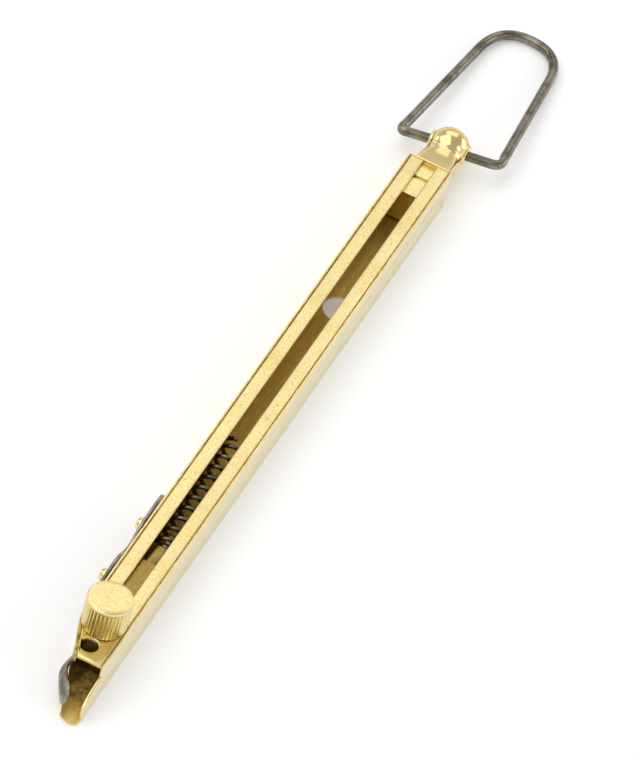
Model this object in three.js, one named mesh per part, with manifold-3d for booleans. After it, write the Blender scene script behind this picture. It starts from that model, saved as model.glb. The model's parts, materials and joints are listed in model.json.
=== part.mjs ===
// In-line cap dispenser: a square brass channel closed by a slotted plate, with a knob-driven spring follower
// inside, a steel spring finger on its left side and a wire bail through the ball on its end. Millimetres, +Z up.
// The dispenser lies on its back: X runs across the channel, Y from its mouth towards the bail.
import * as THREE from "three";
import { mergeVertices } from "three/addons/utils/BufferGeometryUtils.js";
import Module from "manifold-3d";

const wasm = await Module();
wasm.setup();

// Channel
const TUBE_SIZE = 8; // outside, across and high
const TUBE_LENGTH = 140;
const HALF = TUBE_SIZE / 2;
const WALL = 0.4;
const SLANTED_WALL = 0.45; // across the tapered left wall, along X
const SEAM = 0.05; // hairline gap between pieces that are fitted together
const INNER_HALF = HALF - WALL;

// Nose of the channel: its left side is cut off along a taper, and the floor is cut back further still
const TAPER_START_Y = 14;
const TAPER_SLOPE = 0.356; // across the tube for each millimetre along it
const MOUTH_LEFT_X = 0.6; // left edge of the floor at the mouth
const MOUTH_CORNER_Y = 0.2; // where the rounded lip starts
const LIP_END_Y = 0.7; // where it ends, at the right wall
const FLOOR_TAPER_START_Y = 15.4;
const FLOOR_MIDDLE = [-1.9, 7.5]; // a corner in the floor's left edge
const FINGER_WINDOW = { end: 19.6, bottom: 2, top: 6.4 }; // the opening in the left wall for the finger
const RIGHT_WALL_STEP_HEIGHT = 5.2; // the right wall drops to this at the plate's end,
const RIGHT_WALL_MOUTH_HEIGHT = 3.1; // and slopes down to this at the mouth

// Slotted plate
const PLATE_THICKNESS = 0.8;
const PLATE_Z = TUBE_SIZE - PLATE_THICKNESS;
const PLATE_END_Y = 6;
const SLOT_WIDTH = 2.5;
const SLOT_END_Y = 12.4;
const SIGHT_HOLE = { y: 9.1, radius: 1.5 };
const BACK_HOLE = { y: 107.5, radius: 3 };

// Plug with the ball
const SHANK_START_Y = 132;
const SHANK_HALF = INNER_HALF - SEAM;
const SHANK_GROOVE = { y: 136.5, width: 0.7, depth: 0.6 };
const AXIS_Z = HALF;
const BALL_Y = 149.4;
const BALL_RADIUS = 3.4;
const SHOULDER_Y = TUBE_LENGTH + 0.9; // top of the square shoulder above the tube
const NECK = { top: 146.4, halfWidth: 3.2, halfHeight: 2.3 };
const BOSS_RADIUS = 1.75;
const BOSS_HALF_LENGTH = 3.5;
const CROSS_PIN = { y: 135.1, z: 4.3, radius: 0.45 };

// Bail
const WIRE_RADIUS = 0.6;
const WIRE_HOLE_RADIUS = 0.66;
const BAIL_HEIGHT = 35.7; // hinge axis to the middle of the wire at the top
const BAIL_TOP_X = 0.25;
// The loop is bent by hand, so its sides differ: start, control point and end of the lower corner, then the shoulder.
const BAIL_SIDES = {
  left: { corner: [[-7.2, -0.85], [-9, -1.6], [-8.35, 1.2]], shoulder: [-6.35, 27] },
  right: { corner: [[7, 0.75], [9.5, 1], [8.8, 3.6]], shoulder: [7, 27] },
};
const BAIL_FOOT_X = 1.2; // inner end of each foot
const BAIL_TILT = Math.asin((AXIS_Z - WIRE_RADIUS) / BAIL_HEIGHT); // the bail rests on the table

// Follower, spring and knob
const FOLLOWER = { start: 11.2, end: 31.6, half: 3.35, bottom: 0.65, top: 6.95 };
const BORE_Z = (WALL + PLATE_Z) / 2; // middle of the channel's inside
const COLLAR = { end: 36.2, radius: 2.75 };
const SPIGOT = { end: 41, radius: 1.6, tailLength: 5, tailRadius: 1 };
const SPRING = { start: 36.4, end: 65.4, radius: 2.3, wire: 0.36, turns: 11 };
const KNOB_Y = 14.2;
const STUD = { radius: 1.05, bottom: 2.2, top: 12.6 };
const KNOB = { radius: 3.7, height: 6.25, ridges: 36, ridgeDepth: 0.2, chamfer: 0.25, boreDepth: 4.6 };
const KNOB_Z = TUBE_SIZE + 0.1;

// Spring finger and its rivets, on the left wall
const LEAF_THICKNESS = 0.45;
const SPACER_THICKNESS = 0.45;
const LEAF_X = -(HALF + SPACER_THICKNESS + SEAM); // inner face of the leaf
const LEAF_MID_Z = 4.2;
const LEAF = { end: 47.6, start: 20.2, halfHeight: 3, waist: 1.15 };
const RIVET_YS = { upper: 40.8, lower: 27.4 };
const RIVET = { shank: 0.6, head: 1.2, headHeight: 1.2 };
const LEAF_FRONT_HALF_HEIGHT = 1.8; // where the strip narrows into the finger

// Geometry helpers
function solid(geometry) {
  const bare = geometry.clone();
  bare.deleteAttribute("normal");
  bare.deleteAttribute("uv");
  const merged = mergeVertices(bare, 1e-4);
  return new wasm.Manifold(
    new wasm.Mesh({
      numProp: 3,
      vertProperties: merged.attributes.position.array,
      triVerts: new Uint32Array(merged.index.array),
    }),
  );
}

function geometryOf(body) {
  const mesh = body.getMesh();
  const geometry = new THREE.BufferGeometry();
  geometry.setAttribute("position", new THREE.BufferAttribute(mesh.vertProperties, 3));
  geometry.setIndex(new THREE.BufferAttribute(mesh.triVerts, 1));
  geometry.computeVertexNormals();
  return geometry;
}

function box(x0, x1, y0, y1, z0, z1) {
  const geometry = new THREE.BoxGeometry(x1 - x0, y1 - y0, z1 - z0);
  return solid(geometry.translate((x0 + x1) / 2, (y0 + y1) / 2, (z0 + z1) / 2));
}

// A cylinder or cone with its axis along "x", "y" or "z", from one end to the other.
function rod(axis, start, end, radius, centre, sides = 28, endRadius = radius) {
  const geometry = new THREE.CylinderGeometry(endRadius, radius, end - start, sides);
  const middle = (start + end) / 2;
  if (axis === "x") geometry.rotateZ(-Math.PI / 2).translate(middle, centre[0], centre[1]);
  if (axis === "y") geometry.translate(centre[0], middle, centre[1]);
  if (axis === "z") geometry.rotateX(Math.PI / 2).translate(centre[0], centre[1], middle);
  return solid(geometry);
}

// An outline in the XY plane, raised from z0 to z1.
function prism(shape, z0, z1, curveSegments = 16) {
  const geometry = new THREE.ExtrudeGeometry(shape, { depth: z1 - z0, bevelEnabled: false, curveSegments });
  return solid(geometry.translate(0, 0, z0));
}

function outline(points) {
  return new THREE.Shape(points.map(([x, y]) => new THREE.Vector2(x, y)));
}

function circleOutline(radius, sides) {
  const shape = new THREE.Shape();
  shape.absarc(0, 0, radius, 0, 2 * Math.PI, false);
  return new THREE.Shape(shape.getPoints(sides / 4).slice(0, -1));
}

// Moves every vertex of a geometry by a formula.
function bend(geometry, move) {
  const position = geometry.getAttribute("position");
  const vertex = new THREE.Vector3();
  for (let i = 0; i < position.count; i++) {
    const moved = move(vertex.fromBufferAttribute(position, i));
    position.setXYZ(i, moved.x, moved.y, moved.z);
  }
  return geometry;
}

function sweep(section, curve, steps) {
  return solid(new THREE.ExtrudeGeometry(section, { steps, bevelEnabled: false, extrudePath: curve }));
}

// Channel: floor, two walls, rounded lip, back hole and the holes of the pins
function taperX(y) {
  return -HALF + TAPER_SLOPE * (TAPER_START_Y - y);
}

// What is cut off the right wall between the plate's end and the mouth, drawn in the YZ plane.
function rightWallCut() {
  const cut = outline([
    [PLATE_END_Y, TUBE_SIZE + 1],
    [-2, TUBE_SIZE + 1],
    [-2, RIGHT_WALL_MOUTH_HEIGHT - 0.6],
    [MOUTH_CORNER_Y, RIGHT_WALL_MOUTH_HEIGHT],
    [PLATE_END_Y / 2, RIGHT_WALL_STEP_HEIGHT - 0.4],
    [PLATE_END_Y, RIGHT_WALL_STEP_HEIGHT],
  ]);
  const geometry = new THREE.ExtrudeGeometry(cut, { depth: 2, bevelEnabled: false });
  geometry.rotateY(Math.PI / 2).rotateX(Math.PI / 2);
  return solid(geometry.translate(INNER_HALF - 0.2, 0, 0));
}

function channelBody() {
  const profile = new THREE.Shape();
  profile.moveTo(HALF, TUBE_LENGTH);
  profile.lineTo(-HALF, TUBE_LENGTH);
  profile.lineTo(-HALF, TAPER_START_Y);
  profile.lineTo(taperX(PLATE_END_Y), PLATE_END_Y);
  profile.lineTo(MOUTH_LEFT_X, MOUTH_CORNER_Y);
  profile.bezierCurveTo(MOUTH_LEFT_X + 0.8, -0.7, HALF - 0.1, -1.5, HALF, LIP_END_Y);
  const [middleX, middleY] = FLOOR_MIDDLE;
  const besideFloor = outline([
    [-HALF - 2, FLOOR_TAPER_START_Y + 4],
    [-HALF, FLOOR_TAPER_START_Y],
    FLOOR_MIDDLE,
    [MOUTH_LEFT_X, MOUTH_CORNER_Y],
    [MOUTH_LEFT_X, -2],
    [-HALF - 2, -2],
  ]);
  const insideLow = outline([
    [INNER_HALF, TUBE_LENGTH + 1],
    [-INNER_HALF, TUBE_LENGTH + 1],
    [-INNER_HALF, FLOOR_TAPER_START_Y],
    [middleX + SLANTED_WALL, middleY],
    [MOUTH_LEFT_X + SLANTED_WALL, -1],
    [INNER_HALF, -1],
  ]);
  const insideHigh = outline([
    [INNER_HALF, TUBE_LENGTH + 1],
    [-INNER_HALF, TUBE_LENGTH + 1],
    [-INNER_HALF, TAPER_START_Y + WALL / 4],
    [taperX(-1) + SLANTED_WALL, -1],
    [INNER_HALF, -1],
  ]);
  const { end, bottom, top } = FINGER_WINDOW;
  return prism(profile, 0, TUBE_SIZE)
    .subtract(prism(besideFloor, -1, top))
    .subtract(prism(insideLow, WALL, top))
    .subtract(prism(insideHigh, top, TUBE_SIZE + 1))
    .subtract(box(-HALF - 1, 0, 0, end, bottom, top))
    .subtract(rightWallCut())
    .subtract(box(INNER_HALF - 0.1, HALF + 1, -2, LIP_END_Y + SEAM, WALL, TUBE_SIZE))
    .subtract(box(-HALF - 1, INNER_HALF - 0.1, -2, PLATE_END_Y, bottom, TUBE_SIZE + 1))
    .subtract(rod("z", -1, WALL + 1, BACK_HOLE.radius, [0, BACK_HOLE.y], 40))
    .subtract(rod("x", -HALF - 1, HALF + 1, CROSS_PIN.radius + SEAM, [CROSS_PIN.y, CROSS_PIN.z], 16))
    .subtract(rod("x", -HALF - 1, -HALF / 2, RIVET.shank + SEAM, [RIVET_YS.upper, LEAF_MID_Z], 16))
    .subtract(rod("x", -HALF - 1, -HALF / 2, RIVET.shank + SEAM, [RIVET_YS.lower, LEAF_MID_Z], 16));
}

function slottedPlate() {
  const half = INNER_HALF - SEAM;
  const start = PLATE_END_Y;
  const face = outline([
    [half, TUBE_LENGTH],
    [-half, TUBE_LENGTH],
    [-half, TAPER_START_Y + WALL / 4],
    [taperX(start) + SLANTED_WALL + SEAM, start],
    [half, start],
  ]);
  const slotHalf = SLOT_WIDTH / 2;
  return prism(face, PLATE_Z, TUBE_SIZE)
    .subtract(box(-slotHalf, slotHalf, SLOT_END_Y + slotHalf, TUBE_LENGTH + 1, PLATE_Z - 1, TUBE_SIZE + 1))
    .subtract(rod("z", PLATE_Z - 1, TUBE_SIZE + 1, slotHalf, [0, SLOT_END_Y + slotHalf], 24))
    .subtract(rod("z", PLATE_Z - 1, TUBE_SIZE + 1, SIGHT_HOLE.radius, [0, SIGHT_HOLE.y], 28));
}

// Plug: a square shank in the tube, a square shoulder, a neck that narrows to an oval, and the ball
function lathe(points, segments) {
  return solid(new THREE.LatheGeometry(points.map(([r, y]) => new THREE.Vector2(r, y)), segments));
}

// The neck is a cylinder whose section goes from the shoulder's square to an oval, in a cove.
function neck() {
  const { top, halfWidth, halfHeight } = NECK;
  const bottom = SHOULDER_Y - SEAM;
  const geometry = new THREE.CylinderGeometry(1, 1, BALL_Y - bottom, 48, 14);
  return solid(
    bend(geometry, (v) => {
      const y = (bottom + BALL_Y) / 2 + v.y;
      const t = THREE.MathUtils.clamp((y - bottom) / (top - bottom), 0, 1);
      const cove = Math.sin((t * Math.PI) / 2);
      const width = HALF + (halfWidth - HALF) * cove;
      const height = HALF + (halfHeight - HALF) * cove;
      const reach = Math.hypot(v.x, v.z);
      const power = 8 - 6 * Math.sqrt(t); // of the superellipse: 8 is nearly square, 2 is an oval
      const angle = Math.atan2(v.z, v.x);
      const scale = (Math.abs(Math.cos(angle)) ** power + Math.abs(Math.sin(angle)) ** power) ** (-1 / power);
      return v.set(
        width * scale * reach * Math.cos(angle),
        y,
        AXIS_Z + height * scale * reach * Math.sin(angle),
      );
    }),
  );
}

function ballPlug() {
  const shank = box(
    -SHANK_HALF, SHANK_HALF, SHANK_START_Y, TUBE_LENGTH + 0.5, WALL + SEAM, PLATE_Z - SEAM,
  );
  const grooveTop = box(
    -HALF, HALF,
    SHANK_GROOVE.y - SHANK_GROOVE.width / 2, SHANK_GROOVE.y + SHANK_GROOVE.width / 2,
    PLATE_Z - SHANK_GROOVE.depth, TUBE_SIZE,
  );
  const shoulder = box(-HALF, HALF, TUBE_LENGTH + SEAM, SHOULDER_Y, 0, TUBE_SIZE);
  const ball = solid(new THREE.SphereGeometry(BALL_RADIUS, 32, 20).translate(0, BALL_Y, AXIS_Z));
  const boss = rod("x", -BOSS_HALF_LENGTH, BOSS_HALF_LENGTH, BOSS_RADIUS, [BALL_Y, AXIS_Z]);
  return shank
    .subtract(grooveTop)
    .add(shoulder)
    .add(neck())
    .add(ball)
    .add(boss)
    .subtract(rod("x", -HALF - 1, HALF + 1, WIRE_HOLE_RADIUS, [BALL_Y, AXIS_Z], 24))
    .subtract(rod("x", -HALF - 1, HALF + 1, CROSS_PIN.radius + SEAM, [CROSS_PIN.y, CROSS_PIN.z], 16));
}

function crossPin() {
  return rod("x", -HALF, HALF, CROSS_PIN.radius, [CROSS_PIN.y, CROSS_PIN.z], 16);
}

// Bail: two feet in the ball, two legs that lean in, and a round top; built flat, then tilted down to the table
function bail() {
  const at = ([x, y]) => new THREE.Vector3(x, y, 0);
  const side = ({ corner, shoulder }) => {
    const sign = Math.sign(shoulder[0]);
    const roundTop = [[shoulder[0] - sign * 0.4, BAIL_HEIGHT], [BAIL_TOP_X, BAIL_HEIGHT]];
    return [[sign * BAIL_FOOT_X, 0], [sign * BOSS_HALF_LENGTH, 0], ...corner, shoulder, ...roundTop].map(at);
  };
  const left = side(BAIL_SIDES.left);
  const right = side(BAIL_SIDES.right).reverse();
  const path = new THREE.CurvePath();
  path.add(new THREE.LineCurve3(left[0], left[1]));
  path.add(new THREE.LineCurve3(left[1], left[2]));
  path.add(new THREE.QuadraticBezierCurve3(left[2], left[3], left[4]));
  path.add(new THREE.LineCurve3(left[4], left[5]));
  path.add(new THREE.QuadraticBezierCurve3(left[5], left[6], left[7]));
  path.add(new THREE.QuadraticBezierCurve3(right[0], right[1], right[2]));
  path.add(new THREE.LineCurve3(right[2], right[3]));
  path.add(new THREE.QuadraticBezierCurve3(right[3], right[4], right[5]));
  path.add(new THREE.LineCurve3(right[5], right[6]));
  path.add(new THREE.LineCurve3(right[6], right[7]));
  return sweep(circleOutline(WIRE_RADIUS, 12), path, 112);
}

// Follower: a bar that fills the channel, with the knob's stud through it and a spigot for the spring
function followerBar() {
  const { start, end, half, bottom, top } = FOLLOWER;
  const nose = outline([
    [half, start],
    [half, end],
    [-half, end],
    [-half, TAPER_START_Y + 4],
    [-half + 0.15, TAPER_START_Y + 1.3],
    [-1.9, start],
  ]);
  return prism(nose, bottom, top)
    .subtract(rod("z", STUD.bottom, top + 1, STUD.radius + SEAM, [0, KNOB_Y], 20))
    .subtract(rod("y", end - SPIGOT.tailLength - 0.2, end + 1, SPIGOT.tailRadius + SEAM, [0, BORE_Z], 20));
}

function springSpigot() {
  const profile = [
    [0, FOLLOWER.end - SPIGOT.tailLength],
    [SPIGOT.tailRadius, FOLLOWER.end - SPIGOT.tailLength],
    [SPIGOT.tailRadius, FOLLOWER.end + SEAM],
    [COLLAR.radius, FOLLOWER.end + SEAM],
    [COLLAR.radius, COLLAR.end],
    [SPIGOT.radius, COLLAR.end],
    [SPIGOT.radius, SPIGOT.end - 0.4],
    [SPIGOT.radius - 0.4, SPIGOT.end],
    [0, SPIGOT.end],
  ];
  return lathe(profile, 28).translate([0, 0, BORE_Z]);
}

class Helix extends THREE.Curve {
  getPoint(t, target = new THREE.Vector3()) {
    const angle = t * SPRING.turns * 2 * Math.PI;
    const start = SPRING.start + SPRING.wire;
    const length = SPRING.end - SPRING.start - 2 * SPRING.wire;
    return target.set(SPRING.radius * Math.sin(angle), start + length * t, SPRING.radius * Math.cos(angle));
  }
}

function followerSpring() {
  return sweep(circleOutline(SPRING.wire, 8), new Helix(), SPRING.turns * 16).translate([0, 0, BORE_Z]);
}

function knobStud() {
  return rod("z", STUD.bottom + 0.1, STUD.top, STUD.radius, [0, KNOB_Y], 20);
}

// Knob: straight knurling as a ring of triangular ridges, a chamfered top and a blind bore for the stud
function knob() {
  const rim = [];
  for (let i = 0; i < 2 * KNOB.ridges; i++) {
    const angle = (i / KNOB.ridges) * Math.PI;
    const radius = i % 2 === 0 ? KNOB.radius : KNOB.radius - KNOB.ridgeDepth;
    rim.push([radius * Math.cos(angle), radius * Math.sin(angle)]);
  }
  const { radius, height, chamfer, boreDepth } = KNOB;
  const envelope = [[0, 0], [radius - chamfer, 0], [radius, chamfer], [radius, height - chamfer]];
  envelope.push([radius - chamfer, height], [0, height]);
  const blank = solid(
    new THREE.LatheGeometry(envelope.map(([r, y]) => new THREE.Vector2(r, y)), 48).rotateX(Math.PI / 2),
  );
  return prism(outline(rim), 0, height)
    .intersect(blank)
    .subtract(rod("z", -1, boreDepth, STUD.radius + SEAM, [0, 0], 20));
}

// Leaf spring: a waisted strip riveted to the left wall, whose free end is the finger at the mouth
function leafSpring() {
  const { start, end, halfHeight, waist } = LEAF;
  const shape = new THREE.Shape();
  const middle = (RIVET_YS.upper + RIVET_YS.lower) / 2;
  shape.moveTo(start, -LEAF_FRONT_HALF_HEIGHT);
  shape.lineTo(RIVET_YS.lower, -halfHeight);
  shape.bezierCurveTo(middle, -halfHeight, middle - 3, -waist, middle, -waist);
  shape.bezierCurveTo(middle + 3, -waist, middle, -halfHeight, RIVET_YS.upper, -halfHeight);
  shape.lineTo(end - halfHeight, -halfHeight);
  shape.absarc(end - halfHeight, 0, halfHeight, -Math.PI / 2, Math.PI / 2, false);
  shape.lineTo(RIVET_YS.upper, halfHeight);
  shape.bezierCurveTo(middle, halfHeight, middle + 3, waist, middle, waist);
  shape.bezierCurveTo(middle - 3, waist, middle, halfHeight, RIVET_YS.lower, halfHeight);
  shape.lineTo(start, LEAF_FRONT_HALF_HEIGHT);
  const strip = new THREE.ExtrudeGeometry(shape, {
    depth: LEAF_THICKNESS,
    bevelEnabled: false,
    curveSegments: 10,
  });
  strip.rotateZ(Math.PI / 2).rotateY(-Math.PI / 2).translate(LEAF_X, 0, LEAF_MID_Z);
  let body = solid(strip);
  for (const y of Object.values(RIVET_YS)) {
    body = body.subtract(rod("x", -HALF - 2, -HALF, RIVET.shank + SEAM, [y, LEAF_MID_Z], 16));
  }
  return body;
}

// The finger is a strip between two rails, its lower and its upper edge. It leans in through the window of the
// left wall, bulges out below the plate, twists, and ends as a blade that leans over the mouth.
function leafFinger() {
  const x = LEAF_X - LEAF_THICKNESS / 2;
  const low = LEAF_MID_Z - LEAF_FRONT_HALF_HEIGHT;
  const high = LEAF_MID_Z + LEAF_FRONT_HALF_HEIGHT;
  const rail = (points) => new THREE.CatmullRomCurve3(points.map((p) => new THREE.Vector3(...p)));
  const lower = rail([
    [x, LEAF.start - SEAM, low],
    [-4.4, 18, low],
    [-3.65, 15, low],
    [-2.85, 12, low],
    [-2.4, 9.6, low],
    [-2.65, 7.2, 2.6],
    [-2.25, 5.4, 2.7],
    [-1.3, 3.4, 2.6],
    [-0.4, 1.7, 2.5],
    [0.6, 0.1, 2.6],
  ]);
  const upper = rail([
    [x, LEAF.start - SEAM, high],
    [-4.4, 18, high],
    [-3.65, 15, high],
    [-2.8, 12, high],
    [-1.9, 9.6, high - 0.2],
    [-1.6, 7.6, 5.4],
    [-1.6, 5.9, 4.9],
    [-0.8, 4.1, 4.8],
    [0.45, 2.4, 4.9],
    [1.35, 0.3, 4.2],
  ]);
  const geometry = new THREE.BoxGeometry(1, 1, 1, 1, 36, 3);
  bend(geometry, (v) => {
    const along = 0.5 - v.y;
    const bottom = lower.getPoint(along);
    const top = upper.getPoint(along);
    const tangent = lower.getTangent(along).add(upper.getTangent(along));
    const outward = tangent.cross(top.clone().sub(bottom)).normalize();
    return bottom.lerp(top, v.z + 0.5).addScaledVector(outward, -v.x * LEAF_THICKNESS);
  });
  return solid(geometry);
}

function rivet(y) {
  const back = -INNER_HALF;
  const headStart = LEAF_X - LEAF_THICKNESS - SEAM;
  const shank = rod("x", headStart - 0.1, back, RIVET.shank, [y, LEAF_MID_Z], 16);
  const head = rod("x", headStart - RIVET.headHeight, headStart, RIVET.head * 0.8, [y, LEAF_MID_Z], 24, RIVET.head);
  return shank.add(head);
}

function spacer(y) {
  const outer = LEAF_X + SEAM / 2;
  const inner = -HALF - SEAM / 2;
  return rod("x", outer, inner, RIVET.head, [y, LEAF_MID_Z], 24)
    .subtract(rod("x", outer - 1, inner + 1, RIVET.shank + SEAM, [y, LEAF_MID_Z], 16));
}

// Scene graph
const brass = (color, roughness) => ({ color, roughness, metalness: 1 });
const SATIN_BRASS = brass(0xdcb768, 0.38);
const POLISHED_BRASS = brass(0xe3bf6d, 0.12);
const BLUED_STEEL = { color: 0x4a4b46, roughness: 0.35, metalness: 1 };
const GREY_STEEL = { color: 0x8d9394, roughness: 0.32, metalness: 1 };

const dispenser = new THREE.Group();
dispenser.position.y = -TUBE_LENGTH / 2; // the frame's origin is on the back, half-way along the tube

function place(name, body, material, parent = dispenser) {
  const mesh = new THREE.Mesh(geometryOf(body), new THREE.MeshStandardMaterial(material));
  mesh.name = name;
  parent.add(mesh);
  return mesh;
}

place("channel_body", channelBody(), SATIN_BRASS);
place("slotted_plate", slottedPlate(), SATIN_BRASS);
place("ball_plug", ballPlug(), POLISHED_BRASS);
place("plug_cross_pin", crossPin(), SATIN_BRASS);

const bailHinge = new THREE.Group();
bailHinge.position.set(0, BALL_Y, AXIS_Z);
bailHinge.rotation.x = -BAIL_TILT;
dispenser.add(bailHinge);
place("bail", bail(), BLUED_STEEL, bailHinge);

place("follower_bar", followerBar(), SATIN_BRASS);
place("spring_spigot", springSpigot(), SATIN_BRASS);
place("follower_spring", followerSpring(), BLUED_STEEL);
place("knob_stud", knobStud(), SATIN_BRASS);
place("knob", knob(), SATIN_BRASS).position.set(0, KNOB_Y, KNOB_Z);

place("leaf_spring", leafSpring(), GREY_STEEL);
place("leaf_finger", leafFinger(), GREY_STEEL);
for (const [end, y] of Object.entries(RIVET_YS)) {
  place(`${end}_rivet`, rivet(y), SATIN_BRASS);
  place(`${end}_spacer`, spacer(y), SATIN_BRASS);
}

export default dispenser;
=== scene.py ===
"""In-line cap dispenser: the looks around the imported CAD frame. Metres, in the row frame."""
import json
import math

import bmesh
import bpy
from mathutils import Matrix, Vector


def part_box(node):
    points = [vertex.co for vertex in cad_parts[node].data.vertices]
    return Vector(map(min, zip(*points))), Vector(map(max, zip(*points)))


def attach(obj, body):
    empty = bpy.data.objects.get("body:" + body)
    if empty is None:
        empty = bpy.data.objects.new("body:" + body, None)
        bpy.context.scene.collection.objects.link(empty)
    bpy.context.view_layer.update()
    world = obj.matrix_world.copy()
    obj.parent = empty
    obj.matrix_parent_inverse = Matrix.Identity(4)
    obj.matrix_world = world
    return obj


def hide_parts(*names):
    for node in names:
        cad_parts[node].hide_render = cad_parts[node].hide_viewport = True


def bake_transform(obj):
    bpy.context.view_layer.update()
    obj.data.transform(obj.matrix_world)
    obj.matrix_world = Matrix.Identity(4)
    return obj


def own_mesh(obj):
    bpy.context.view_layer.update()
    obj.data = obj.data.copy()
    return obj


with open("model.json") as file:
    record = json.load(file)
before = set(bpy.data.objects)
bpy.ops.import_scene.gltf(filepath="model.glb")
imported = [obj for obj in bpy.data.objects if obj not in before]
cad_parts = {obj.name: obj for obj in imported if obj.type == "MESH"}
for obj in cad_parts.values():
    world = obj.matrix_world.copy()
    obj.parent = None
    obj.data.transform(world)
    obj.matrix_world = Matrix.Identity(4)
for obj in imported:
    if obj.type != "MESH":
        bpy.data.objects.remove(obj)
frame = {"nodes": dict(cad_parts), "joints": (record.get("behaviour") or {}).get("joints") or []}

MM = 0.001
JOINTS = {joint["name"]: joint for joint in frame["joints"]}
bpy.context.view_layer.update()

MOUTH_Y = -70 * MM  # where the tube's own length is measured from

# Camera
CAMERA_AZIMUTH = math.radians(14.354)  # from -Y towards +X
CAMERA_ELEVATION = math.radians(45.055)
CAMERA_ROLL = math.radians(15.368)
CAMERA_DISTANCE = 1.542
CAMERA_TARGET = Vector((0, -2.93 * MM, 0))
AIM_RIGHT = 13.4 * MM  # the view's middle, from the target
AIM_UP = 12.6 * MM
LENS_MM = 454

# Stage
FLOOR_HALF = 6
FLOOR_GREY = 0.9
FLOOR_GLOW = 0.2  # the floor's own light, which keeps it white under soft shadows
WORLD_RAMP = ((0.0, 0.85), (0.6, 0.5))  # (share of the way up the sky, grey)
SOFTBOXES = {
    # name: direction from the object, distance, width, height, radiance
    "back_softbox": ((-0.17, 0.68, 0.71), 2.2, 1.9, 1.3, 0.75),
    "top_softbox": ((-0.43, -0.2, 0.9), 2.4, 2.8, 2.4, 1.2),
    "left_softbox": ((-1, 0.1, 0.3), 2.0, 0.5, 0.5, 2.0),
    "edge_softbox": ((0.75, 0.62, 0.3), 2.2, 1.5, 0.9, 1.3),
    "right_softbox": ((0.88, -0.05, 0.46), 2.0, 0.6, 0.8, 1.8),
}

# Slotted plate, in millimetres, with places along the tube from the mouth
PLATE_TAPER_START_Y = 14.1
PLATE_END_LEFT_X = -0.65
PLATE_FIT = 0.04 * MM  # closes most of the CAD's seam
PLATE_ROUNDING = 0.28 * MM  # of the edges
SLOT_WIDTH = 2.5
SLOT_END_Y = 12.4
SIGHT_HOLE_Y = 9.1
SIGHT_HOLE_RADIUS = 1.5

# Knob
KNOB_RIDGES = 36
KNOB_RIDGE_STEPS = 8  # points round one ridge
KNOB_RIDGE_DEPTH = 0.26 * MM
KNOB_EDGE = 0.28 * MM
KNOB_RIM = 0.5 * MM  # the plain band under the top edge

# Spring
SPRING_WIRE_RADIUS = 0.36 * MM
SPRING_TURNS = 11
SPRING_TURN_STEPS = 40
SPRING_DEAD = 0.06  # share of the length of wire that lies flat, half of it at each end

# Ball plug
PLUG_SEAM = 0.05 * MM
SHOULDER_HEIGHT = 0.4 * MM
NECK_INSET = 0.7 * MM  # from the shoulder's edge to the foot of the neck
NECK_TOP_DROP = 3.0 * MM  # from the ball's centre to the narrowest section
NECK_HALF_WIDTH, NECK_HALF_HEIGHT = 3.2 * MM, 2.3 * MM
BOSS_RADIUS = 1.75 * MM
BOSS_FACE_RADIUS = 1.6 * MM  # inside the chamfer
BOSS_CHAMFER = 0.2 * MM
BOSS_HALF_LENGTH = 3.5 * MM
VOXEL = 0.09 * MM
REMESH_SHRINK = 0.1 * MM  # what the smoothing takes off the ball
SHANK_HALF_WIDTH = 3.35 * MM
SHANK_LOW_Z = 0.65 * MM
GROOVE_Y = 66.5 * MM
GROOVE_HALF_WIDTH = 0.35 * MM
GROOVE_DEPTH = 0.6 * MM

# Bail, as it is bent, in millimetres: x across, y away from the hinge
WIRE_RADIUS = 0.85 * MM  # thicker than the CAD's wire
BAIL_FOOT_X = 1.2
BAIL_EYE_X = 3.5
BAIL_HEIGHT = 35.7
BAIL_TOP_X = 0.25
BAIL_TOP_LEAN = 0.4  # how far each side leans in above its shoulder
BAIL_SIDES = {
    "left": {"corner": [(-7.2, -0.85), (-9, -1.6), (-8.35, 1.2)], "shoulder": (-6.35, 27)},
    "right": {"corner": [(7, 0.75), (9.5, 1), (8.8, 3.6)], "shoulder": (7, 27)},
}

# Leaf, in millimetres: x across, y along the tube from the mouth, z up
LEAF_THICKNESS = 0.42
LEAF_FLAT_X = -4.725  # middle of the thickness where the rivets hold it
LEAF_MIDDLE_Z = 4.2
LEAF_END_Y = 47.6
LEAF_FLAT_START_Y = 20.2
LEAF_RIVET_YS = (27.4, 40.8)
LEAF_HALF_HEIGHT = 3.0  # round the rivets
LEAF_WAIST_HALF_HEIGHT = 1.15
LEAF_WAIST_REACH = 5.2  # from the waist's middle to the full height
LEAF_FRONT_HALF_HEIGHT = 1.8
LEAF_TIP_LOW_HALF_HEIGHT = 0.15  # keeps the round end's first row open
LEAF_COLUMNS = 12  # across the strip
LEAF_STATIONS = [
    # along the finger: lower edge (x, y, z), upper edge (x, y, z), how far the middle bulges outward
    ((-4.725, 20.2, 2.4), (-4.725, 20.2, 6.0), 0.0),
    ((-4.4, 18.0, 2.4), (-4.4, 18.0, 6.0), 0.0),
    ((-3.65, 15.0, 2.4), (-3.65, 15.0, 6.0), 0.0),
    ((-2.85, 12.0, 2.4), (-2.8, 12.0, 6.0), 0.02),
    ((-2.4, 9.6, 2.4), (-1.6, 9.6, 5.8), 0.1),
    ((-2.68, 7.2, 2.6), (-1.3, 7.6, 5.5), 0.3),
    ((-2.3, 5.4, 2.65), (-1.6, 5.9, 4.9), 0.4),
    ((-1.35, 3.4, 2.55), (-0.8, 4.1, 4.8), 0.45),
    ((-0.4, 1.7, 2.45), (0.4, 2.5, 4.9), 0.4),
    ((0.35, 0.35, 2.6), (1.15, 0.9, 4.6), 0.25),
    ((0.85, -0.2, 3.1), (1.1, 0.0, 3.9), 0.1),
]

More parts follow.
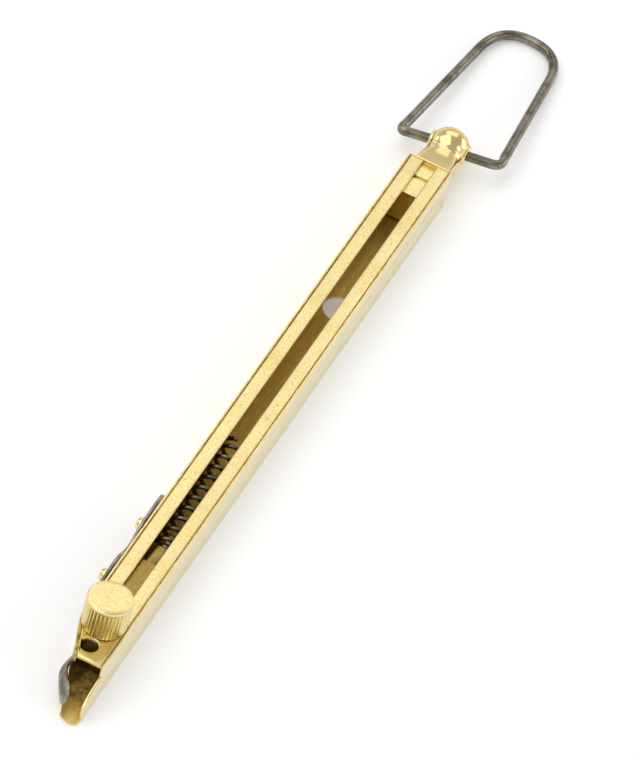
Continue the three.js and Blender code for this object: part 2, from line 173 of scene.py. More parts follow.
# Colours
PALE_BRASS = (0.90, 0.765, 0.40)
WARM_BRASS = (0.92, 0.71, 0.33)
BRASS_PATINA = (0.78, 0.60, 0.22)
# painted bounced light: the golden glow that brass walls throw on each other inside the channel
BOUNCED_LIGHT_GOLD = (1.0, 0.74, 0.22)
# tarnish, made darker as painted shade for the parts that sit in the channel's shadow
OLIVE_TARNISH_AND_SHADE = (0.36, 0.25, 0.07)
# tarnish spots and streaks, and also the painted shade along the channel's seams
DEEP_BRASS = (0.34, 0.20, 0.05)
# near black: grime in blots near the mouth, and painted shade at the follower's nose
GRIME_AND_SHADE = (0.10, 0.065, 0.025)
# painted reflection: the pale sheen of the floor on the channel's right side
PAINTED_SHEEN_CREAM = (0.82, 0.77, 0.58)
RUST = (0.20, 0.15, 0.08)
WIRE_TONES = ((0.12, 0.105, 0.075), (0.33, 0.30, 0.235))
COIL_TONES = ((0.10, 0.085, 0.055), (0.22, 0.19, 0.14))
LEAF_TONES = ((0.14, 0.125, 0.10), (0.40, 0.375, 0.325))


# ---------------------------------------------------------------- camera, stage and light
def add_camera():
    azimuth, elevation, roll = CAMERA_AZIMUTH, CAMERA_ELEVATION, CAMERA_ROLL
    back = Vector((
        math.sin(azimuth) * math.cos(elevation),
        -math.cos(azimuth) * math.cos(elevation),
        math.sin(elevation),
    ))
    level_right = Vector((math.cos(azimuth), math.sin(azimuth), 0))
    level_up = back.cross(level_right)
    right = math.cos(roll) * level_right + math.sin(roll) * level_up
    up = math.cos(roll) * level_up - math.sin(roll) * level_right
    position = CAMERA_TARGET + CAMERA_DISTANCE * back
    aim = CAMERA_TARGET + AIM_RIGHT * right + AIM_UP * up
    back = (position - aim).normalized()
    right = up.cross(back).normalized()
    up = back.cross(right)
    data = bpy.data.cameras.new("camera")
    data.lens = LENS_MM
    data.clip_end = 50
    camera = bpy.data.objects.new("camera", data)
    bpy.context.scene.collection.objects.link(camera)
    rotation = Matrix((right, up, back)).transposed().to_4x4()
    camera.matrix_world = Matrix.Translation(position) @ rotation
    bpy.context.scene.camera = camera


def add_floor():
    half = FLOOR_HALF
    mesh = bpy.data.meshes.new("floor")
    corners = [(-half, -half, 0), (half, -half, 0), (half, half, 0), (-half, half, 0)]
    mesh.from_pydata(corners, [], [(0, 1, 2, 3)])
    floor = bpy.data.objects.new("floor", mesh)
    bpy.context.scene.collection.objects.link(floor)
    material = bpy.data.materials.new("floor_white")
    material.use_nodes = True
    shader = material.node_tree.nodes["Principled BSDF"]
    shader.inputs["Base Color"].default_value = (FLOOR_GREY, FLOOR_GREY, FLOOR_GREY, 1)
    shader.inputs["Roughness"].default_value = 0.9
    shader.inputs["Specular IOR Level"].default_value = 0
    shader.inputs["Emission Color"].default_value = (1, 1, 1, 1)
    shader.inputs["Emission Strength"].default_value = FLOOR_GLOW
    mesh.materials.append(material)


def add_softbox(name, direction, distance, width, height, radiance):
    """A rectangle of light that faces the object, from that direction and distance."""
    data = bpy.data.lights.new(name, "AREA")
    data.shape = "RECTANGLE"
    data.size = width
    data.size_y = height
    data.energy = radiance * math.pi * width * height
    light = bpy.data.objects.new(name, data)
    light.location = Vector(direction).normalized() * distance
    light.rotation_euler = Vector(direction).to_track_quat("Z", "Y").to_euler()
    bpy.context.scene.collection.objects.link(light)


def add_studio():
    world = bpy.data.worlds.new("studio")
    bpy.context.scene.world = world
    world.use_nodes = True
    nodes, links = world.node_tree.nodes, world.node_tree.links
    coordinates = nodes.new("ShaderNodeTexCoord")
    split = nodes.new("ShaderNodeSeparateXYZ")
    ramp = nodes.new("ShaderNodeValToRGB")
    links.new(coordinates.outputs["Generated"], split.inputs[0])
    links.new(split.outputs["Z"], ramp.inputs[0])
    links.new(ramp.outputs[0], nodes["Background"].inputs["Color"])
    for element, (position, grey) in zip(ramp.color_ramp.elements, WORLD_RAMP):
        element.position = position
        element.color = (grey, grey, grey, 1)
    for name, box in SOFTBOXES.items():
        add_softbox(name, *box)
    bpy.context.scene.view_settings.view_transform = "Standard"


# ---------------------------------------------------------------- materials
class Nodes:
    """A new Principled material, with short calls for the nodes that it needs."""

    def __init__(self, name, metallic=1.0):
        self.material = bpy.data.materials.new(name)
        self.material.use_nodes = True
        self.tree = self.material.node_tree
        self.shader = self.tree.nodes["Principled BSDF"]
        self.shader.inputs["Metallic"].default_value = metallic
        self.place = self.tree.nodes.new("ShaderNodeTexCoord").outputs["Object"]

    def link(self, source, target):
        self.tree.links.new(source, target)

    def noise(self, per_mm, detail=2.0, roughness=0.5):
        """Noise from 0 to 1, with that many cells to a millimetre: one number, or one for each axis."""
        axes = per_mm if isinstance(per_mm, tuple) else (per_mm,) * 3
        mapping = self.tree.nodes.new("ShaderNodeMapping")
        mapping.inputs["Scale"].default_value = [a / MM for a in axes]
        self.link(self.place, mapping.inputs["Vector"])
        noise = self.tree.nodes.new("ShaderNodeTexNoise")
        noise.inputs["Scale"].default_value = 1
        noise.inputs["Detail"].default_value = detail
        noise.inputs["Roughness"].default_value = roughness
        self.link(mapping.outputs[0], noise.inputs["Vector"])
        return noise.outputs["Fac"]

    def span(self, value, low, high, to_low=0.0, to_high=1.0):
        """The value's span from low to high, turned into the span to_low to to_high and clamped there."""
        node = self.tree.nodes.new("ShaderNodeMapRange")
        for socket, number in zip(node.inputs[1:5], (low, high, to_low, to_high)):
            socket.default_value = number
        self.link(value, node.inputs[0])
        return node.outputs[0]

    def math(self, operation, a, b):
        node = self.tree.nodes.new("ShaderNodeMath")
        node.operation = operation
        for socket, value in zip(node.inputs, (a, b)):
            if isinstance(value, (int, float)):
                socket.default_value = value
            else:
                self.link(value, socket)
        return node.outputs[0]

    def mix(self, factor, a, b):
        node = self.tree.nodes.new("ShaderNodeMix")
        node.data_type = "RGBA"
        self.link(factor, node.inputs["Factor"])
        for socket, value in zip((node.inputs[6], node.inputs[7]), (a, b)):
            if isinstance(value, tuple):
                socket.default_value = (*value, 1)
            else:
                self.link(value, socket)
        return node.outputs[2]

    def axis(self, letter, absolute=False):
        """The place along one axis, in millimetres."""
        node = self.tree.nodes.new("ShaderNodeSeparateXYZ")
        self.link(self.place, node.inputs[0])
        value = self.math("MULTIPLY", node.outputs[letter], 1 / MM)
        return self.math("ABSOLUTE", value, 0) if absolute else value

    def bump(self, height, distance_mm):
        node = self.tree.nodes.new("ShaderNodeBump")
        node.inputs["Distance"].default_value = distance_mm * MM
        node.inputs["Strength"].default_value = 1
        self.link(height, node.inputs["Height"])
        self.link(node.outputs[0], self.shader.inputs["Normal"])


def brushed(n, grain, patina):
    """The colour and grain of brushed brass, mottled and with small tarnish spots; its bump is set."""
    mottle = n.noise(2.6, 3, 0.65)
    cloud = n.noise(0.12, 3, 0.55)
    spots = n.span(n.noise(1.1, 2, 0.5), 0.66, 0.76)
    lines = n.noise(grain, 2, 0.6)
    tarnish = n.math("MULTIPLY", n.span(cloud, 0.42, 0.75), patina)
    tone = n.math("ADD", n.span(mottle, 0.4, 0.65, 0, 0.9), tarnish)
    colour = n.mix(tone, PALE_BRASS, BRASS_PATINA)
    colour = n.mix(n.math("MULTIPLY", spots, 0.4), colour, DEEP_BRASS)
    n.bump(n.math("ADD", lines, n.math("MULTIPLY", mottle, 0.8)), 0.006)
    return colour, n.math("ADD", lines, n.span(cloud, 0.3, 0.8, 0, 0.3))


def satin_brass(name, patina, grain=(5, 0.12, 5), roughness=(0.24, 0.36)):
    n = Nodes(name)
    colour, rough = brushed(n, grain, patina)
    n.link(colour, n.shader.inputs["Base Color"])
    n.link(n.span(rough, 0.25, 0.9, *roughness), n.shader.inputs["Roughness"])
    return n.material


def inner_brass(name):
    """Brass that is never polished: olive-brown tarnish darkened further as painted shade, with darker
    streaks, and nearly black painted shade at the follower's nose.
    """
    n = Nodes(name)
    colour, rough = brushed(n, (4, 0.3, 4), 0.8)
    # olive brown: tarnish, darkened as painted shade for the parts in the channel's shadow
    colour = n.mix(n.span(n.noise(0.8, 2), 0.3, 0.7, 0.85, 1), colour, OLIVE_TARNISH_AND_SHADE)
    streaks = n.span(n.noise((1.6, 0.35, 1.6), 4, 0.65), 0.4, 0.7, 0.5, 0.05)
    colour = n.mix(streaks, colour, DEEP_BRASS)
    # painted shade: nearly black towards the follower's nose, where it lies in shadow under the plate
    nose = n.span(n.axis("Y"), -57.6, -58.6, 0, 0.93)
    n.link(n.mix(nose, colour, GRIME_AND_SHADE), n.shader.inputs["Base Color"])
    n.link(n.span(rough, 0.25, 0.9, 0.28, 0.42), n.shader.inputs["Roughness"])
    return n.material


def channel_brass(name):
    """Brushed, with a right side paled as a painted reflection, an inside tinted golden brown as painted
    bounced light, and painted shade in dark, broken lines on the walls' tops.

    Places are in millimetres: the walls run from 3.6 to 4 on both sides of the middle, and up to 8.
    """
    n = Nodes(name)
    colour, rough = brushed(n, (5, 0.12, 5), 0.4)
    across, height, along = n.axis("X", True), n.axis("Z"), n.axis("Y")
    # painted reflection: the outer right side is paled towards cream below its top edge
    right_side_sheen = n.math("MULTIPLY", n.span(n.axis("X"), 3.93, 3.97), n.span(height, 7.85, 7.7))
    colour = n.mix(n.math("MULTIPLY", right_side_sheen, 0.75), colour, PAINTED_SHEEN_CREAM)
    inside = n.math("MULTIPLY", n.span(across, 3.72, 3.62), n.span(height, 0.2, 0.35))
    inside = n.math("MULTIPLY", inside, n.span(along, -70.5, -67.5, 0.25, 1))
    # painted bounced light: the inside is tinted golden brown, less so near the mouth's lip
    colour = n.mix(inside, colour, BOUNCED_LIGHT_GOLD)
    streaks = n.span(n.noise((1.6, 0.35, 1.6), 4, 0.65), 0.4, 0.7, 0.35, 0.0)
    colour = n.mix(n.math("MULTIPLY", inside, streaks), colour, DEEP_BRASS)
    mouth = n.math("MULTIPLY", n.span(along, -68, -65.5), n.span(along, -40, -60))
    blots = n.span(n.noise((1.1, 0.8, 1.1), 4, 0.6), 0.36, 0.6, 0.78, 0.05)
    grime = n.math("MULTIPLY", mouth, blots)
    colour = n.mix(n.math("MULTIPLY", inside, grime), colour, GRIME_AND_SHADE)
    # painted shade: the shadowed gap beside the plate, drawn as dark, broken lines on the walls' tops
    seam = n.math("MULTIPLY", n.span(across, 3.56, 3.62), n.span(across, 3.8, 3.7))
    top = n.span(height, 7.7, 7.85)
    dashes = n.span(n.noise((0.2, 0.9, 0.2), 2), 0.35, 0.6, 0.4, 1.0)
    dark = n.math("MULTIPLY", n.math("MULTIPLY", seam, top), dashes)
    n.link(n.mix(dark, colour, DEEP_BRASS), n.shader.inputs["Base Color"])
    dull = n.math("MULTIPLY", inside, 0.25)
    n.link(n.math("ADD", n.span(rough, 0.25, 0.9, 0.24, 0.36), dull), n.shader.inputs["Roughness"])
    return n.material


def polished_brass(name):
    n = Nodes(name)
    cloud = n.noise(0.5, 3, 0.6)
    scratches = n.noise((7, 0.6, 7), 2, 0.6)
    colour = n.mix(n.span(cloud, 0.4, 0.8, 0, 0.6), WARM_BRASS, BRASS_PATINA)
    n.link(colour, n.shader.inputs["Base Color"])
    n.link(n.span(scratches, 0.3, 0.8, 0.1, 0.2), n.shader.inputs["Roughness"])
    n.bump(n.math("ADD", n.math("MULTIPLY", scratches, 0.3), cloud), 0.006)
    return n.material


def steel(name, dark, light, roughness, grain):
    """Oiled steel: the colour and gloss drift along it, with fine drawing marks and rusty specks."""
    n = Nodes(name)
    cloud = n.noise(0.35, 3, 0.6)
    fine = n.noise(grain, 3, 0.6)
    colour = n.mix(n.span(cloud, 0.35, 0.7), dark, light)
    colour = n.mix(n.span(fine, 0.58, 0.75, 0, 0.55), colour, RUST)
    n.link(colour, n.shader.inputs["Base Color"])
    n.link(n.span(fine, 0.3, 0.7, *roughness), n.shader.inputs["Roughness"])
    n.bump(n.math("ADD", fine, n.math("MULTIPLY", cloud, 0.5)), 0.008)
    return n.material


def make_materials():
    return {
        "channel": channel_brass("channel_brass"),
        "plate": satin_brass("plate_brass", patina=0.35),
        "inner": inner_brass("inner_brass"),
        "shank": satin_brass("shank_brass", grain=(5, 5, 5), patina=0.3),
        "polished": polished_brass("polished_brass"),
        "knob": satin_brass("knob_brass", grain=(5, 5, 0.3), roughness=(0.2, 0.3), patina=0.1),
        "wire": steel("dark_steel", *WIRE_TONES, (0.2, 0.3), (1.5, 1.5, 1.5)),
        "coil": steel("coil_steel", *COIL_TONES, (0.22, 0.32), (2, 2, 2)),
        "leaf": steel("grey_steel", *LEAF_TONES, (0.22, 0.36), (4, 0.8, 4)),
    }


# ---------------------------------------------------------------- mesh helpers
def shade(mesh, sharp_angle):
    """Smooth faces, with every edge sharper than the angle kept crisp."""
    made = bmesh.new()
    made.from_mesh(mesh)
    bmesh.ops.recalc_face_normals(made, faces=made.faces)
    for face in made.faces:
        face.smooth = True
    for edge in made.edges:
        edge.smooth = edge.calc_face_angle(0) < sharp_angle
    made.to_mesh(mesh)
    made.free()


def piece(name, vertices, faces, material, body, replaced=(), *, sharp):
    """A new object that rides the body; with no body it is left for the caller to blend."""
    mesh = bpy.data.meshes.new(name)
    mesh.from_pydata([tuple(v) for v in vertices], [], faces)
    shade(mesh, math.radians(sharp))
    mesh.materials.append(material)
    made = bpy.data.objects.new(name, mesh)
    bpy.context.scene.collection.objects.link(made)
    if body:
        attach(made, body)
    if replaced:
        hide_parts(*replaced)
    return made


def bridge(rings):
    """Faces between equal rings of vertices, and a flat cap on each end."""
    count = len(rings[0])
    vertices = [v for ring in rings for v in ring]
    faces = []
    for r in range(len(rings) - 1):
        for i in range(count):
            j = (i + 1) % count
            a, b = r * count, (r + 1) * count
            faces.append((a + i, a + j, b + j, b + i))
    faces.append(tuple(reversed(range(count))))
    last = (len(rings) - 1) * count
    faces.append(tuple(range(last, last + count)))
    return vertices, faces


def tube(points, radius, sides):
    """A round bar along the points, with its first and last ring drawn in."""
    end_scale = 0.7
    last = len(points) - 1
    tangents = [(points[min(i + 1, last)] - points[max(i - 1, 0)]).normalized() for i in range(last + 1)]
    normal = tangents[0].orthogonal().normalized()
    rings = []
    for i, (point, tangent) in enumerate(zip(points, tangents)):
        normal = (normal - tangent * normal.dot(tangent)).normalized()
        side = tangent.cross(normal)
        scale = end_scale if i in (0, last) else 1
        ring = []
        for k in range(sides):
            angle = 2 * math.pi * k / sides
            ring.append(point + radius * scale * (math.cos(angle) * normal + math.sin(angle) * side))
        rings.append(ring)
    return bridge(rings)


def lathe(profile, axis, centre, sides):
    """A solid of revolution: profile of (radius, place along the axis), from one end to the other."""
    along = Vector([1.0 if letter == axis else 0.0 for letter in "xyz"])
    first = along.orthogonal().normalized()
    second = along.cross(first)
    rings = []
    for radius, place in profile:
        ring = []
        for k in range(sides):
            angle = 2 * math.pi * k / sides
            out = radius * (math.cos(angle) * first + math.sin(angle) * second)
            ring.append(Vector(centre) + along * place + out)
        rings.append(ring)
    return bridge(rings)


def refined(node, body, material, bevel_mm):
    """A copy of a CAD node's mesh with its flat faces whole again and its edges softened."""
    mesh = frame["nodes"][node].data.copy()
    mesh.name = node + "_refined"
    made = bmesh.new()
    made.from_mesh(mesh)
    bmesh.ops.remove_doubles(made, verts=made.verts, dist=0.002 * MM)
    bmesh.ops.dissolve_limit(
        made, angle_limit=math.radians(1), verts=made.verts, edges=made.edges, delimit={"NORMAL"},
    )
    made.to_mesh(mesh)
    made.free()
    mesh.materials.clear()
    mesh.materials.append(material)
    obj = bpy.data.objects.new(node + "_refined", mesh)
    bpy.context.scene.collection.objects.link(obj)
    shade(mesh, math.radians(180))
    bevel = obj.modifiers.new("soft_edges", "BEVEL")
    bevel.width = bevel_mm * MM
    bevel.segments = 3
    bevel.limit_method = "ANGLE"
    bevel.angle_limit = math.radians(38)
    bevel.harden_normals = True
    bevel.use_clamp_overlap = True
    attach(obj, body)
    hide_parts(node)
    return obj


def flat_plate(name, loops, low_z, high_z, rounding, material, body, replaced):
    """A flat plate: its outline and its holes, each a loop of (x, y), with all its edges rounded."""
    curve = bpy.data.curves.new(name, "CURVE")
    curve.dimensions = "2D"
    curve.fill_mode = "BOTH"
    curve.bevel_depth = rounding
    curve.bevel_resolution = 3
    curve.extrude = (high_z - low_z) / 2 - rounding
    curve.offset = -rounding
    for loop in loops:
        spline = curve.splines.new("POLY")
        spline.points.add(len(loop) - 1)
        for point, (x, y) in zip(spline.points, loop):
            point.co = (x, y, 0, 1)
        spline.use_cyclic_u = True
    source = bpy.data.objects.new(name, curve)
    bpy.context.scene.collection.objects.link(source)
    source.location.z = (low_z + high_z) / 2
    bpy.context.view_layer.update()
    mesh = bpy.data.meshes.new_from_object(source.evaluated_get(bpy.context.evaluated_depsgraph_get()))
    mesh.transform(source.matrix_world)
    bpy.data.objects.remove(source)
    bpy.data.curves.remove(curve)
    made = bmesh.new()
    made.from_mesh(mesh)
    bmesh.ops.remove_doubles(made, verts=made.verts, dist=0.0005 * MM)
    made.to_mesh(mesh)
    made.free()
    mesh.name = name
    shade(mesh, math.radians(40))
    mesh.materials.clear()
    mesh.materials.append(material)
    made = bpy.data.objects.new(name, mesh)
    bpy.context.scene.collection.objects.link(made)
    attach(made, body)
    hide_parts(*replaced)
    return made


def bezier(a, b, c, steps):
    """Points after the first of a quadratic curve."""
    points = []
    for i in range(1, steps + 1):
        t = i / steps
        points.append((1 - t) ** 2 * a + 2 * t * (1 - t) * b + t * t * c)
    return points


def line(a, b, steps):
    return [a.lerp(b, i / steps) for i in range(1, steps + 1)]


def apply_modifiers(obj):
    """Replaces the object's mesh by what its modifiers make of it."""
    graph = bpy.context.evaluated_depsgraph_get()
    mesh = bpy.data.meshes.new_from_object(obj.evaluated_get(graph))
    obj.modifiers.clear()
    obj.data = mesh


def spline_station(stations, i, t):
    """A station between two others, on a Catmull-Rom curve through them."""
    picks = [stations[min(max(i + k, 0), len(stations) - 1)] for k in (-1, 0, 1, 2)]
    weights = (
        -0.5 * t + t * t - 0.5 * t**3,
        1 - 2.5 * t * t + 1.5 * t**3,
        0.5 * t + 2 * t * t - 1.5 * t**3,
        -0.5 * t * t + 0.5 * t**3,
    )
    mixed = []
    for part in (0, 1):
        mixed.append(sum((w * Vector(pick[part]) for w, pick in zip(weights, picks)), Vector()))
    return (*mixed, sum(w * pick[2] for w, pick in zip(weights, picks)))


def grid_normals(grid):
    """Normals that point away from the channel, one for each point of the grid."""
    rows, columns = len(grid), len(grid[0])
    normals = []
    for r in range(rows):
        row = []
        for k in range(columns):
            along = grid[min(r + 1, rows - 1)][k] - grid[max(r - 1, 0)][k]
            over = grid[r][min(k + 1, columns - 1)] - grid[r][max(k - 1, 0)]
            row.append(along.cross(over).normalized())
        normals.append(row)
    return normals


def arc(centre, radius, start, end, steps):
    """Points on an arc, between two angles in degrees."""
    points = []
    for i in range(steps + 1):
        angle = math.radians(start + (end - start) * i / steps)
        points.append((centre[0] + radius * math.cos(angle), centre[1] + radius * math.sin(angle)))
    return points


# ---------------------------------------------------------------- pieces
def add_bail(materials):
    hinge = Vector(JOINTS["bail_swing"]["pos_m"])
    tilt = math.asin((hinge.z - WIRE_RADIUS) / (BAIL_HEIGHT * MM))

    def at(x, y):
        return hinge + MM * Vector((x, y * math.cos(tilt), -y * math.sin(tilt)))

    def side(sign, corner, shoulder):
        start, control, end = (at(*point) for point in corner)
        points = [at(sign * BAIL_FOOT_X, 0)]
        points += line(points[-1], at(sign * BAIL_EYE_X, 0), 4)
        points += line(points[-1], start, 8)
        points += bezier(start, control, end, 14)
        points += line(end, at(*shoulder), 24)
        over = at(shoulder[0] - sign * BAIL_TOP_LEAN, BAIL_HEIGHT)
        return points + bezier(points[-1], over, at(BAIL_TOP_X, BAIL_HEIGHT), 22)

    left = side(-1, **BAIL_SIDES["left"])
    right = side(1, **BAIL_SIDES["right"])
    points = left + list(reversed(right))[1:]
    vertices, faces = tube(points, WIRE_RADIUS, 20)
    piece("bail_wire", vertices, faces, materials["wire"], "bail", ["bail"], sharp=50)


def add_spring(materials):
    low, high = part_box("follower_spring")
    wire = SPRING_WIRE_RADIUS
    mean_radius = (high.x - low.x) / 2 - wire
    axis_z = (low.z + high.z) / 2
    points = []
    steps = SPRING_TURNS * SPRING_TURN_STEPS
    for i in range(steps + 1):
        t = i / steps
        climb = min(max((t - SPRING_DEAD / 2) / (1 - SPRING_DEAD), 0), 1)
        angle = t * SPRING_TURNS * 2 * math.pi
        y = low.y + wire + (high.y - low.y - 2 * wire) * climb
        points.append(Vector((mean_radius * math.sin(angle), y, axis_z + mean_radius * math.cos(angle))))
    vertices, faces = tube(points, wire, 12)
    spring = piece(
        "follower_spring_coil", vertices, faces, materials["coil"], "follower",
        ["follower_spring"], sharp=50,
    )
    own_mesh(spring)


def add_knob(materials):
    low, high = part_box("knob")
    centre = (low + high) / 2
    radius = (high.x - low.x) / 2
    height = high.z - low.z
    edge, rim = KNOB_EDGE, KNOB_RIM
    count = KNOB_RIDGES * KNOB_RIDGE_STEPS
    # (radius of the crest, share of the ridge's depth, height)
    levels = [
        (radius - edge * 1.3, 0.0, 0.0),
        (radius - edge * 0.35, 0.35, edge * 0.55),
        (radius, 1.0, edge * 1.3),
        (radius, 1.0, height - rim - edge * 0.6),
        (radius, 0.5, height - rim - edge * 0.15),
        (radius, 0.0, height - rim),
        (radius, 0.0, height - edge * 0.5),
        (radius - edge * 0.15, 0.0, height - edge * 0.15),
        (radius - edge * 0.5, 0.0, height),
        (radius * 0.6, 0.0, height),
        (radius * 0.25, 0.0, height),
    ]
    rings = []
    for level_radius, share, z in levels:
        ring = []
        for k in range(count):
            phase = (k % KNOB_RIDGE_STEPS) / KNOB_RIDGE_STEPS
            groove = abs(2 * phase - 1) ** 1.5
            r = level_radius - KNOB_RIDGE_DEPTH * share * groove
            angle = 2 * math.pi * k / count
            x, y = centre.x + r * math.cos(angle), centre.y + r * math.sin(angle)
            ring.append(Vector((x, y, low.z + z)))
        rings.append(ring)
    vertices, faces = bridge(rings)
    piece("knurled_knob", vertices, faces, materials["knob"], "knob", ["knob"], sharp=40)


def neck_rings(foot_y, centre, half):
    """Sections from the square shoulder up a cove to the oval neck, and on to the ball's centre."""
    levels, sides = 26, 96
    neck_foot_y = foot_y + SHOULDER_HEIGHT
    neck_top_y = centre.y - NECK_TOP_DROP
    rings = []
    for i in range(levels + 1):
        y = foot_y + (centre.y - foot_y) * i / levels
        t = min(max((y - neck_foot_y) / (neck_top_y - neck_foot_y), 0), 1)
        cove = math.sin(t * math.pi / 2)
        base = half if t == 0 else half - NECK_INSET
        width = base + (NECK_HALF_WIDTH - base) * cove
        depth = base + (NECK_HALF_HEIGHT - base) * cove
        power = 14 - 12 * math.sqrt(t)  # a superellipse, from nearly square to an ellipse
        ring = []
        for k in range(sides):
            angle = 2 * math.pi * k / sides
            c, s = math.cos(angle), math.sin(angle)
            scale = (abs(c) ** power + abs(s) ** power) ** (-1 / power)
            ring.append(Vector((width * scale * c, y, centre.z + depth * scale * s)))
        rings.append(ring)
    return rings


def ball_profile(radius, steps=40):
    """Half a circle, which stays just clear of the axis at the poles."""
    clear = 0.001 * MM
    turns = [math.pi * k / steps for k in range(steps + 1)]
    return [(radius * math.sin(turn) + clear, -radius * math.cos(turn)) for turn in turns]


def add_ball_end(materials, shoulder_y):
    """The shoulder, neck, ball and bosses flow into each other, so they are merged into one smooth skin."""
    low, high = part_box("ball_plug")
    centre = Vector(JOINTS["bail_swing"]["pos_m"])
    end = BOSS_HALF_LENGTH
    boss = [
        (BOSS_FACE_RADIUS, -end), (BOSS_RADIUS, -end + BOSS_CHAMFER),
        (BOSS_RADIUS, end - BOSS_CHAMFER), (BOSS_FACE_RADIUS, end),
    ]
    parts = [
        bridge(neck_rings(shoulder_y, centre, (high.z - low.z) / 2)),
        lathe(ball_profile(high.y - centre.y + REMESH_SHRINK), "y", centre, 80),
        lathe(boss, "x", centre, 64),
    ]
    vertices, faces = [], []
    for part_vertices, part_faces in parts:
        faces += [tuple(i + len(vertices) for i in face) for face in part_faces]
        vertices += part_vertices
    skin = piece(
        "ball_end", vertices, faces, materials["polished"], "frame", ["ball_plug"],
        sharp=60,
    )
    remesh = skin.modifiers.new("merge", "REMESH")
    remesh.mode = "VOXEL"
    remesh.voxel_size = VOXEL
    remesh.use_smooth_shade = True
    smooth = skin.modifiers.new("flow", "SMOOTH")
    smooth.factor = 0.5
    smooth.iterations = 7
    apply_modifiers(skin)


def add_plug_shank(materials, shoulder_y):
    """The plug's square shank under the plate, with a groove across its face."""
    low_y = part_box("ball_plug")[0].y
    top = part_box("slotted_plate")[0].z - PLUG_SEAM
    groove_low, groove_high = GROOVE_Y - GROOVE_HALF_WIDTH, GROOVE_Y + GROOVE_HALF_WIDTH
    outline = [
        (low_y, SHANK_LOW_Z), (shoulder_y, SHANK_LOW_Z), (shoulder_y, top),
        (groove_high, top), (groove_high, top - GROOVE_DEPTH),
        (groove_low, top - GROOVE_DEPTH), (groove_low, top), (low_y, top),
    ]
    rings = [[Vector((x, y, z)) for y, z in outline] for x in (-SHANK_HALF_WIDTH, SHANK_HALF_WIDTH)]
    vertices, faces = bridge(rings)
    shank = piece("plug_shank", vertices, faces, materials["shank"], "frame", sharp=30)
    bevel = shank.modifiers.new("soft_edges", "BEVEL")
    bevel.width = 0.12 * MM
    bevel.segments = 2


def add_ball_plug(materials):
    shoulder_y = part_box("slotted_plate")[1].y + PLUG_SEAM
    add_ball_end(materials, shoulder_y)
    add_plug_shank(materials, shoulder_y)


def leaf_half_height(y):
    """Half the height of the riveted stretch at a place along it, in millimetres."""
    lower, upper = LEAF_RIVET_YS
    full, waist, front = LEAF_HALF_HEIGHT, LEAF_WAIST_HALF_HEIGHT, LEAF_FRONT_HALF_HEIGHT
    if y > LEAF_END_Y - full:
        return math.sqrt(max(full**2 - (y - LEAF_END_Y + full) ** 2, 0.0))
    if y >= lower:
        pull = min(abs(y - (upper + lower) / 2) / LEAF_WAIST_REACH, 1)
        ease = pull * pull * (3 - 2 * pull)
        return waist + (full - waist) * ease
    return front + (full - front) * (y - LEAF_FLAT_START_Y) / (lower - LEAF_FLAT_START_Y)


def leaf_rails():
    """Rows of (lower edge, upper edge, bulge), in millimetres, from the round end to the finger's tip."""
    rails = []
    y = LEAF_END_Y - 0.02
    while y > LEAF_FLAT_START_Y + 0.1:
        half = max(leaf_half_height(y), LEAF_TIP_LOW_HALF_HEIGHT)
        lower = Vector((LEAF_FLAT_X, y, LEAF_MIDDLE_Z - half))
        upper = Vector((LEAF_FLAT_X, y, LEAF_MIDDLE_Z + half))
        rails.append((lower, upper, 0.0))
        y -= 0.12 if y > LEAF_END_Y - 0.8 else 0.5  # finer round the end
    between = 8
    for i in range(len(LEAF_STATIONS) - 1):
        for k in range(between):
            rails.append(spline_station(LEAF_STATIONS, i, k / between))
    lower, upper, bulge = LEAF_STATIONS[-1]
    rails.append((Vector(lower), Vector(upper), bulge))
    return rails


def leaf_grid():
    """Points on the middle of the strip's thickness: rows along it, columns across."""
    shares = [k / LEAF_COLUMNS for k in range(LEAF_COLUMNS + 1)]
    rails = leaf_rails()
    grid = [[lower.lerp(upper, v) for v in shares] for lower, upper, _ in rails]
    normals = grid_normals(grid)
    for r, (_, _, bulge) in enumerate(rails):
        for k, v in enumerate(shares):
            grid[r][k] = grid[r][k] + normals[r][k] * (bulge * 4 * v * (1 - v))
    return grid


def add_leaf(materials):
    """One strip of spring steel from its round end past both rivets to the finger at the mouth."""
    origin = Vector((0, MOUTH_Y, 0))
    grid = leaf_grid()
    normals = grid_normals(grid)
    vertices = []
    for side in (1, -1):
        for r, row in enumerate(grid):
            for k, point in enumerate(row):
                vertices.append(origin + MM * (point + normals[r][k] * side * LEAF_THICKNESS / 2))
    across = LEAF_COLUMNS
    rows, columns = len(grid), across + 1
    sheet = rows * columns
    faces = []
    for r in range(rows - 1):
        for k in range(across):
            a = r * columns + k
            b = a + columns
            faces.append((a, a + 1, b + 1, b))
            faces.append((sheet + a, sheet + b, sheet + b + 1, sheet + a + 1))
    border = list(range(columns))
    border += [r * columns + across for r in range(1, rows)]
    border += [(rows - 1) * columns + k for k in range(across - 1, -1, -1)]
    border += [r * columns for r in range(rows - 2, 0, -1)]
    for a, b in zip(border, border[1:] + border[:1]):
        faces.append((a, b, sheet + b, sheet + a))
    leaf = piece(
        "leaf_strip", vertices, faces, materials["leaf"], None,
        ["leaf_spring", "leaf_finger"], sharp=50,
    )
    bevel = leaf.modifiers.new("soft_edges", "BEVEL")
    bevel.width = 0.1 * MM
    bevel.segments = 2
    bevel.limit_method = "ANGLE"
    bevel.angle_limit = math.radians(50)
    apply_modifiers(leaf)
    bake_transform(leaf)


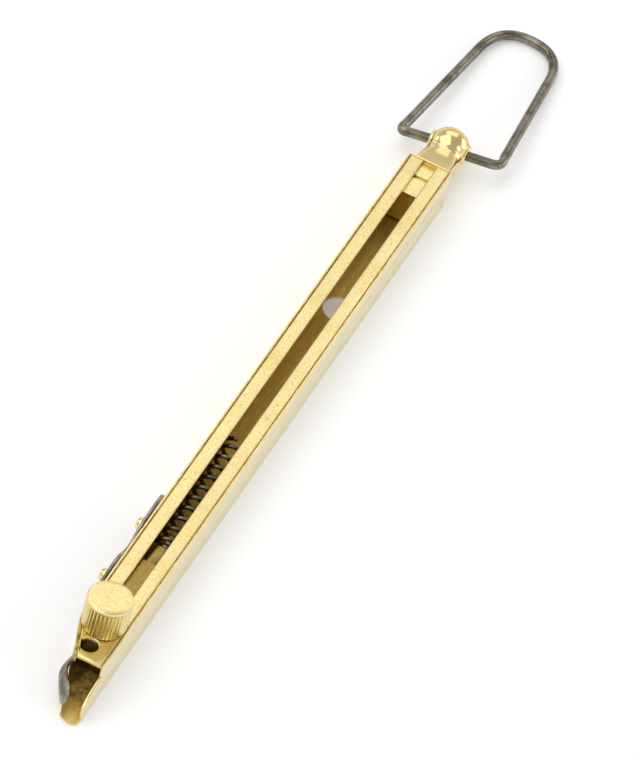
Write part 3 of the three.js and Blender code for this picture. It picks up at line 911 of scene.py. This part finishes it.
def add_plate(materials):
    low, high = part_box("slotted_plate")
    low.x -= PLATE_FIT
    high.x += PLATE_FIT
    taper_start = MOUTH_Y + PLATE_TAPER_START_Y * MM
    taper_end_x = PLATE_END_LEFT_X * MM - PLATE_FIT
    slot_half = SLOT_WIDTH * MM / 2
    slot_end = (0, MOUTH_Y + SLOT_END_Y * MM + slot_half)
    outline = [
        (high.x, low.y), (high.x, high.y), (slot_half, high.y),
        *arc(slot_end, slot_half, 360, 180, 20),
        (-slot_half, high.y), (low.x, high.y), (low.x, taper_start), (taper_end_x, low.y),
    ]
    hole = arc((0, MOUTH_Y + SIGHT_HOLE_Y * MM), SIGHT_HOLE_RADIUS * MM, 0, 348, 29)
    flat_plate(
        "slotted_face", [outline, hole], low.z, high.z, PLATE_ROUNDING, materials["plate"], "frame",
        ["slotted_plate"],
    )


def add_rivets(materials):
    for end in ("upper", "lower"):
        low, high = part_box(end + "_rivet")
        centre = Vector((0, (low.y + high.y) / 2, (low.z + high.z) / 2))
        radius = (high.z - low.z) / 2
        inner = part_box("leaf_spring")[0].x - 0.05 * MM
        shank_radius = radius * 0.55
        profile = [
            (radius * 0.35, low.x), (radius * 0.72, low.x + 0.06 * MM),
            (radius * 0.86, low.x + 0.22 * MM), (radius * 0.93, low.x + 0.6 * MM),
            (radius, inner - 0.2 * MM), (radius * 0.97, inner - 0.02 * MM),
            (shank_radius, inner), (shank_radius, high.x),
        ]
        vertices, faces = lathe(profile, "x", centre, 48)
        piece(
            end + "_rivet_head", vertices, faces, materials["polished"], "frame",
            [end + "_rivet"], sharp=55,
        )


def add_refined(materials):
    refined("channel_body", "frame", materials["channel"], 0.1)
    refined("follower_bar", "follower", materials["inner"], 0.15)
    refined("spring_spigot", "follower", materials["inner"], 0.12)
    refined("knob_stud", "follower", materials["inner"], 0.08)
    refined("plug_cross_pin", "frame", materials["channel"], 0.06)
    for end in ("upper", "lower"):
        refined(end + "_spacer", "frame", materials["inner"], 0.04)


add_camera()
add_floor()
add_studio()
MATERIALS = make_materials()
add_refined(MATERIALS)
add_plate(MATERIALS)
add_ball_plug(MATERIALS)
add_bail(MATERIALS)
add_spring(MATERIALS)
add_knob(MATERIALS)
add_leaf(MATERIALS)
add_rivets(MATERIALS)
